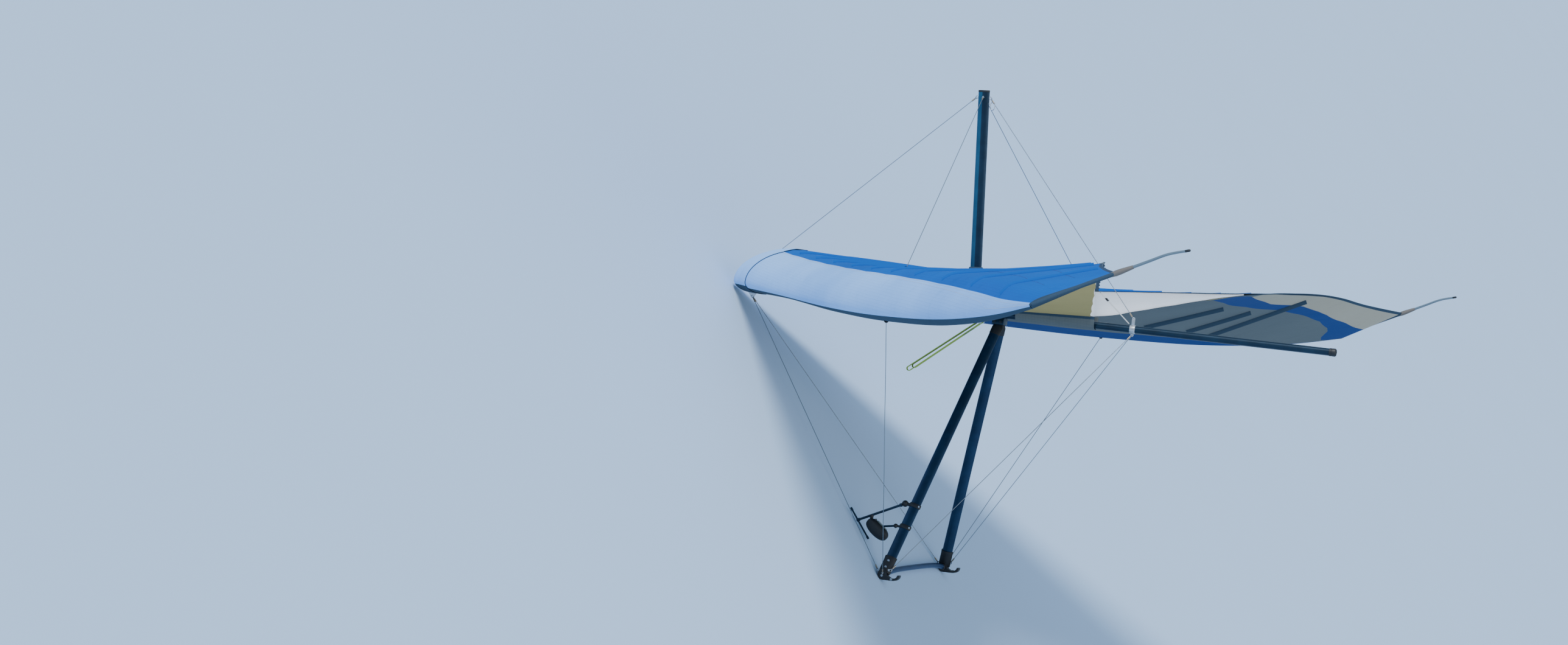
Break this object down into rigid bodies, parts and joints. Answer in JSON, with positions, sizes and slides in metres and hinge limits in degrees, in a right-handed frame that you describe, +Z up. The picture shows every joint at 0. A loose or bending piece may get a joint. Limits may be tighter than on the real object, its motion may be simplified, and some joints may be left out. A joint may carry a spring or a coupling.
{
  "type": "hang glider",
  "caption": "Flex-wing hang glider with kingpost, swept cloth wing, wire-braced triangular control frame and hang loops, parked nose-down",
  "frame": {"origin": "on the floor, under the middle of the parked glider's box", "axes": "+X to the pilot's left along the span, -Y towards the nose, +Y aft, +Z up from the floor; the glider is parked nose-down"},
  "size_m": [9.5046, 2.409, 3.034],
  "materials": {
    "white_cloth": "smooth sailcloth, white with a blue cast",
    "blue_cloth": "smooth sailcloth, strong blue",
    "tan_cloth": "smooth sailcloth, greyish tan",
    "dark_tube": "anodised dark blue-black, satin",
    "black_plastic": "matte black",
    "steel": "satin stainless",
    "wire": "stranded stainless wire",
    "webbing": "woven webbing, yellow-green",
    "wand": "smooth grey fibreglass rod"
  },
  "bodies": {
    "glider": {"leading_edge_panel_left": "white_cloth", "leading_edge_panel_right": "white_cloth", "main_panel_left": "blue_cloth", "main_panel_right": "blue_cloth", "trailing_panel_left": "blue_cloth", "trailing_panel_right": "blue_cloth", "tip_panel_left": "tan_cloth", "tip_panel_right": "tan_cloth", "keel_tube": "dark_tube", "keel_end_cap": "black_plastic", "keel_pocket": "blue_cloth", "nose_tang": "steel", "nose_cone": "white_cloth", "kingpost_base": "steel", "kingpost": "dark_tube", "kingpost_cap": "black_plastic", "apex_bracket": "steel", "corner_left": "black_plastic", "corner_right": "black_plastic", "downtube_left": "dark_tube", "downtube_right": "dark_tube", "basebar": "dark_tube", "tip_wand_left": "wand", "tip_wand_right": "wand", "rear_tang": "steel", "hang_bracket": "steel", "instrument_clamp": "black_plastic", "instrument_arm": "dark_tube", "instrument_lower_clamp": "black_plastic", "instrument_pod": "black_plastic", "top_front_stay": "wire", "top_rear_stay": "wire", "lower_front_stay_left": "wire", "lower_front_stay_right": "wire", "lower_rear_stay_left": "wire", "lower_rear_stay_right": "wire", "lower_side_stay_left": "wire", "lower_side_stay_right": "wire", "top_side_stay_left": "wire", "top_side_stay_right": "wire"},
    "hang_loops": {"main_hang_loop": "webbing", "backup_hang_loop": "webbing"}
  },
  "joints": [
    {"name": "hang_loop_swing", "type": "hinge", "parent": "glider", "child": "hang_loops", "pos_m": [0, -0.07341, 1.13114], "axis": [1, 0, 0], "range_deg": [-35, 100]}
  ]
}
